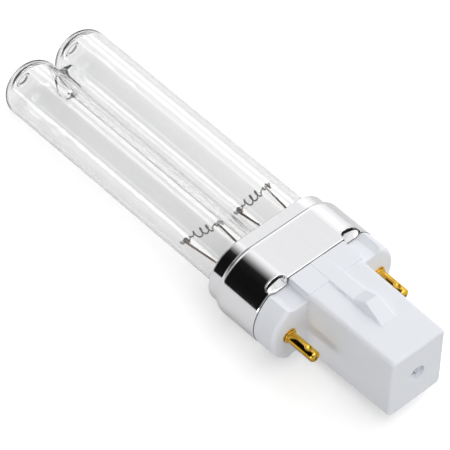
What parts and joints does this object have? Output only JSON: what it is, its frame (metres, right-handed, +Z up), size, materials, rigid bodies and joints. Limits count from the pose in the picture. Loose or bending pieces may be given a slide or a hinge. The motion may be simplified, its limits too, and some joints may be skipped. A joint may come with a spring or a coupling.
{
  "type": "uv-c lamp",
  "caption": "Single-ended ultraviolet lamp: parallel clear glass tubes joined by a bridge, in a crimped metal cap on a white plug-in base with contact pins and a latching post.",
  "frame": {"origin": "on the surface that the lamp lies on, under the middle of its overall length and width", "axes": "+X along the lamp from the glass to the post, Y across the contact pins, +Z up from the broad side that it lies on"},
  "size_m": [0.105, 0.0314, 0.0199],
  "materials": {
    "clear_glass": "polished, clear",
    "shell_metal": "polished",
    "cement": "matt",
    "white_plastic": "satin",
    "starter_glass": "polished",
    "capacitor_coating": "dipped, glossy",
    "pin_brass": "bright",
    "tungsten": "dull",
    "lead_metal": "oxidised",
    "tinned_wire": "tinned",
    "ferrule_brass": "dull"
  },
  "bodies": {
    "root": {"glass_envelope": "clear_glass", "cap_shell": "shell_metal", "basing_cement": "cement", "base_moulding": "white_plastic", "starter_bulb": "starter_glass", "starter_capacitor": "capacitor_coating", "contact_pin_left": "pin_brass", "contact_pin_right": "pin_brass", "filament_left": "tungsten", "filament_right": "tungsten", "outer_lead_left": "lead_metal", "outer_lead_right": "lead_metal", "inner_lead_left": "lead_metal", "inner_lead_right": "lead_metal", "starter_lead_left": "tinned_wire", "starter_lead_right": "tinned_wire", "capacitor_lead_left": "tinned_wire", "capacitor_lead_right": "tinned_wire", "crimp_ferrule_left": "ferrule_brass", "crimp_ferrule_right": "ferrule_brass"}
  },
  "joints": []
}
